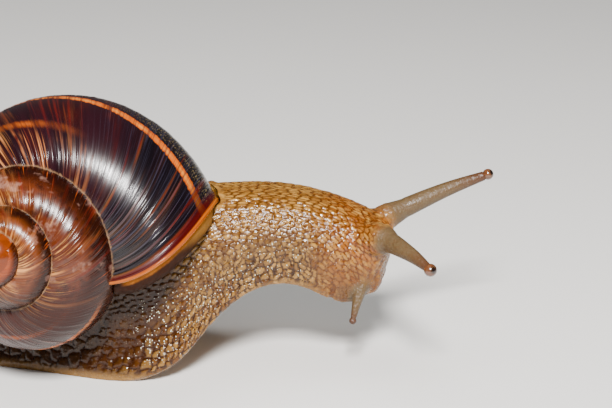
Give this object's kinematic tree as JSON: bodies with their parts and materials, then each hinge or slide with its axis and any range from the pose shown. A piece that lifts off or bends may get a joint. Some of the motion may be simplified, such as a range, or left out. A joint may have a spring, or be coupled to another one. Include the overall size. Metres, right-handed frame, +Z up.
{
  "type": "banded helix snail",
  "caption": "Life-size still model of a large banded land snail, crawling with its front raised and its tentacles out.",
  "frame": {"origin": "on the flat sole, below the middle of the shell", "axes": "+X towards the head, along the crawl; +Y to the snail's left; +Z up from the floor"},
  "size_m": [0.0961, 0.0342, 0.0398],
  "materials": {
    "skin": "wet, warty skin",
    "tentacle_skin": "moist, slightly translucent skin",
    "mantle_collar": "smooth, moist skin",
    "spire_shell": "glossy shell with growth lines",
    "whorl_shell": "glossy dark shell with growth lines",
    "lip_shell": "satin shell edge",
    "eye_knob": "wet"
  },
  "bodies": {
    "root": {"shell_spire": "spire_shell", "shell_body_whorl": "whorl_shell", "shell_lip": "lip_shell", "mantle_collar": "mantle_collar", "tail": "skin", "foot": "skin", "neck": "skin", "head": "skin", "upper_tentacle_right": "tentacle_skin", "upper_tentacle_left": "tentacle_skin", "lower_tentacle_right": "tentacle_skin", "lower_tentacle_left": "tentacle_skin", "eye_right": "eye_knob", "eye_left": "eye_knob"}
  },
  "joints": []
}
